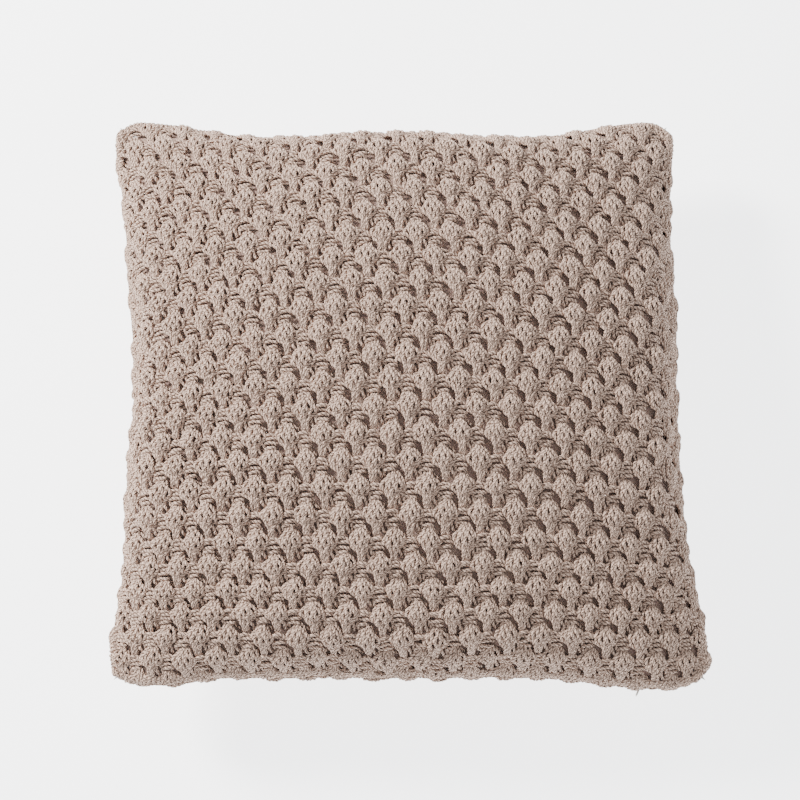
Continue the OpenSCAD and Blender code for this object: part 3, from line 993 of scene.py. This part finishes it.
# ---- Zip coils ----
# Each row of teeth is one nylon thread wound in a tight coil round a filler cord and
# sewn to its tape. The two coils mesh half a turn apart.
def nylon_material():
    material, shader, add = finish_material("taupe_nylon_coil", 0.38)
    place = add("ShaderNodeTexCoord").outputs["Object"]
    tone = add("ShaderNodeTexNoise", Vector=place, Scale=420.0, Detail=3.0)
    # Painted shade: the taupe nylon is coloured darker where its surface dips, by the same noise that bumps
    # it.
    dye_and_dip_shade = add("ShaderNodeMixRGB", Fac=tone.outputs["Fac"], Color1=(0.40, 0.30, 0.24, 1),
              Color2=(0.52, 0.40, 0.33, 1))
    relief = add("ShaderNodeBump", Height=tone.outputs["Fac"], Strength=0.25, Distance=0.0001)
    pattern_into(material, shader, Base_Color=dye_and_dip_shade.outputs[0], Normal=relief.outputs[0])
    return material


coil_nylon = nylon_material()
coil_pitch = 0.0015
coil_wire = 0.00032
coil_rings = 9
coil_root_edge = 0.0021
coil_head_edge = 0.00012
filler_from_middle = 0.0011
filler_radius = 0.0004


def zip_coil(name, node, face, phase):
    low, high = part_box(node)
    turns = (high[0] - low[0] - 2 * coil_wire) / coil_pitch
    angle = 2 * np.pi * np.linspace(0, turns, int(turns * coil_rings) + 1)
    x = low[0] + coil_wire + coil_pitch * angle / (2 * np.pi)
    root, head = coil_root_edge - coil_wire, coil_head_edge + coil_wire
    reach = (root + head) / 2 + (root - head) / 2 * np.cos(angle + phase)
    top, foot = low[1] + coil_wire, high[1] - coil_wire
    y = (top + foot) / 2 + (foot - top) / 2 * np.sin(angle + phase)
    centres = np.stack([x, y, seam_level + face * reach], -1)[None]
    normals = np.broadcast_to([1.0, 0.0, 0.0], centres.shape)
    wound = tubes(centres, normals, np.full(centres.shape[:2], coil_wire))
    core_x = np.linspace(low[0] + 0.001, high[0] - 0.001, 120)
    core_y = np.full_like(core_x, (top + foot) / 2)
    core_z = np.full_like(core_x, seam_level + face * filler_from_middle)
    core = np.stack([core_x, core_y, core_z], -1)[None]
    filler = tubes(core, np.broadcast_to([0.0, 0.0, 1.0], core.shape), np.full(core.shape[:2], filler_radius))
    piece = yarn_piece(name, [wound, filler])
    piece.data.materials.append(coil_nylon)
    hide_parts(node)


zip_coil("coil_front", "zip_coil_front", front, 0.0)
zip_coil("coil_back", "zip_coil_back", back, math.pi)


# ---- Zip stitching ----
# One row of brown lockstitch on each side of the coils, which holds tape, lining and lip
# together.
stitch_length = 0.003
stitch_end_gap = 0.0006
stitch_depth = 0.0014
stitch_seat = 0.0004
stitch_squareness = 2.2
stitch_from_middle = 0.0072
lockstitch_radius = 0.00028


def lockstitch(name, node, face):
    """Thread that dips through the layers once a stitch and lies flat between the dips."""
    low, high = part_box(node)
    count = int((high[0] - low[0]) / stitch_length)
    turn = np.linspace(0, count, count * stitch_rings + 1)
    x = low[0] + stitch_end_gap + (high[0] - low[0] - 2 * stitch_end_gap) * turn / count
    swing = np.tanh(stitch_squareness * np.sin(2 * np.pi * turn)) / math.tanh(stitch_squareness)
    y = low[1] - stitch_seat - stitch_depth * swing
    z = np.full_like(x, seam_level + face * stitch_from_middle)
    centres = np.stack([x, y, z], -1)[None]
    normals = np.broadcast_to([0.0, 0.0, 1.0], centres.shape)
    piece = yarn_piece(name, [tubes(centres, normals, np.full(centres.shape[:2], lockstitch_radius))])
    piece.data.materials.append(brown_thread)
    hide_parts(node)


lockstitch("tape_stitching_front", "zip_stitching_front", front)
lockstitch("tape_stitching_back", "zip_stitching_back", back)


# ---- Zip metalwork ----
# Die-cast slider, pull tab and pressed stops in nickel plate, with edges tumbled round.
# The slider runs on the coils, and the tab swings on the slider's bridge.
def nickel_material():
    material, shader, add = finish_material("nickel_plate", 0.3, 1.0)
    place = add("ShaderNodeTexCoord").outputs["Object"]
    rubbed = add("ShaderNodeTexNoise", Vector=place, Scale=240.0, Detail=4.0)
    scratch = add("ShaderNodeTexNoise", Vector=place, Scale=1800.0, Detail=2.0, Distortion=1.0)
    worn = add("ShaderNodeMapRange", Value=rubbed.outputs["Fac"], From_Min=0.3, From_Max=0.7,
               To_Min=0.22, To_Max=0.42)
    tint = add("ShaderNodeMixRGB", Fac=rubbed.outputs["Fac"], Color1=(0.58, 0.56, 0.52, 1),
               Color2=(0.74, 0.72, 0.68, 1))
    relief = add("ShaderNodeBump", Height=scratch.outputs["Fac"], Strength=0.15, Distance=0.00005)
    pattern_into(material, shader, Roughness=worn.outputs[0], Base_Color=tint.outputs[0],
                 Normal=relief.outputs[0])
    return material


nickel = nickel_material()


def metal_part(name, node, edge_round, body):
    """The node's own shape with its edges rounded over."""
    mesh = bpy.data.objects[node].data.copy()
    mesh.name = name
    mesh.materials.clear()
    piece = bpy.data.objects.new(name, mesh)
    bpy.context.scene.collection.objects.link(piece)
    bpy.ops.object.select_all(action="DESELECT")
    piece.select_set(True)
    bpy.context.view_layer.objects.active = piece
    bpy.ops.object.mode_set(mode="EDIT")
    bpy.ops.mesh.select_all(action="SELECT")
    bpy.ops.mesh.remove_doubles(threshold=0.000002)
    bpy.ops.mesh.dissolve_limited(angle_limit=math.radians(1.0))
    bpy.ops.object.mode_set(mode="OBJECT")
    rounding = piece.modifiers.new("rounded_edges", "BEVEL")
    rounding.width = edge_round
    rounding.segments = 3
    rounding.limit_method = "ANGLE"
    rounding.angle_limit = math.radians(35)
    rounding.harden_normals = False
    bpy.ops.object.modifier_apply(modifier="rounded_edges")
    bpy.ops.object.shade_smooth_by_angle(angle=math.radians(40))
    piece.data.materials.append(nickel)
    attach(piece, body)
    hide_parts(node)


metal_part("top_stops", "zip_top_stops", 0.0003, "cover")
metal_part("bottom_stop", "zip_bottom_stop", 0.0003, "cover")
metal_part("slider", "zip_slider_body", 0.0002, "zip_slider")
metal_part("pull_tab", "zip_puller_tab", 0.00025, "zip_puller")
